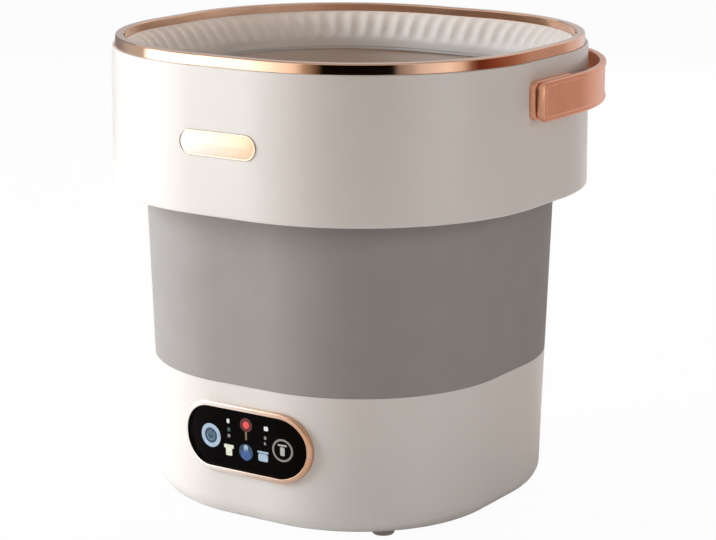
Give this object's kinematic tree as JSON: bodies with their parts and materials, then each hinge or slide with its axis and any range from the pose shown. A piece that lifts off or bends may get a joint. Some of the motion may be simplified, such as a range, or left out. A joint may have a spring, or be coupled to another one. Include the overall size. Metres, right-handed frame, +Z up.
{
  "type": "foldable washing machine",
  "caption": "Folding bucket-shaped washing machine: hard base with touch panel, soft folding wall, upper shell with fluted mouth, metal rim and swinging bail, and a geared pulsator.",
  "frame": {"origin": "on the wash tub's upright axis, in the plane the four feet stand on", "axes": "+Z up, the control panel faces -Y, the bail's pivots lie along X, and the ports are on the +Y side"},
  "size_m": [0.354, 0.3427, 0.3449],
  "materials": {
    "shell_white": "glossy moulded",
    "silicone_grey": "smooth satin silicone",
    "rose_gold": "polished rose gold plating",
    "bail_copper": "satin copper coating",
    "badge_gold": "polished champagne plating",
    "collar_white": "satin moulded",
    "tub_white": "smooth moulded",
    "pulsator_grey": "smooth moulded",
    "cap_grey": "satin moulded",
    "inner_plastic": "plain moulded",
    "panel_black": "dark gloss window",
    "board_green": "solder mask",
    "foot_rubber": "matt",
    "seal_rubber": "matt",
    "steel": "bright",
    "motor_steel": "zinc plated",
    "bush_brass": "sintered",
    "gear_nylon": "plain moulded",
    "socket_black": "plain moulded",
    "drain_grey": "plain moulded"
  },
  "bodies": {
    "base": {"base_shell": "shell_white", "port_plate": "shell_white", "bottom_cover": "shell_white", "feet": "foot_rubber", "cover_screws": "steel", "panel_bezel": "rose_gold", "panel_glass": "panel_black", "control_board": "board_green", "wash_tub": "tub_white", "drain_strainer": "cap_grey", "drain_elbow": "drain_grey", "power_inlet": "socket_black", "motor": "motor_steel", "motor_bracket": "motor_steel", "bracket_screws": "steel", "lower_bush": "bush_brass", "upper_bush": "bush_brass", "shaft_seal": "seal_rubber", "silicone_sleeve": "silicone_grey", "lower_clamp": "inner_plastic"},
    "upper": {"upper_shell": "shell_white", "collar_carrier": "inner_plastic", "fluted_collar": "collar_white", "rim_ring": "rose_gold", "upper_clamp": "inner_plastic", "badge_plate": "badge_gold", "pivot_pads": "bail_copper"},
    "bail": {"bail_handle": "bail_copper", "pivot_pins": "steel", "pivot_clips": "steel"},
    "agitator": {"pulsator": "pulsator_grey", "pulsator_screw": "steel", "pulsator_cap": "cap_grey", "drive_shaft": "steel", "drive_gear": "gear_nylon"},
    "pinion": {"motor_pinion": "steel"},
    "plug": {"drain_plug": "seal_rubber"}
  },
  "joints": [
    {"name": "collapse", "type": "slide", "parent": "base", "child": "upper", "axis": [0, 0, 1], "range_m": [-0.17, 0], "deforming": ["silicone_sleeve"]},
    {"name": "bail_swing", "type": "hinge", "parent": "upper", "child": "bail", "pos_m": [0, 0, 0.311], "axis": [1, 0, 0], "range_deg": [0, 180]},
    {"name": "agitator_spin", "type": "hinge", "parent": "base", "child": "agitator", "pos_m": [0, 0, 0.06], "axis": [0, 0, 1], "continuous": true},
    {"name": "pinion_spin", "type": "hinge", "parent": "base", "child": "pinion", "pos_m": [0.04688, 0, 0.045], "axis": [0, 0, 1], "continuous": true},
    {"name": "drain_plug_pull", "type": "slide", "parent": "base", "child": "plug", "axis": [0, 1, 0], "range_m": [0, 0.03]}
  ],
  "couplings": [
    {"joint": "pinion_spin", "follows": "agitator_spin", "ratio": -4}
  ]
}
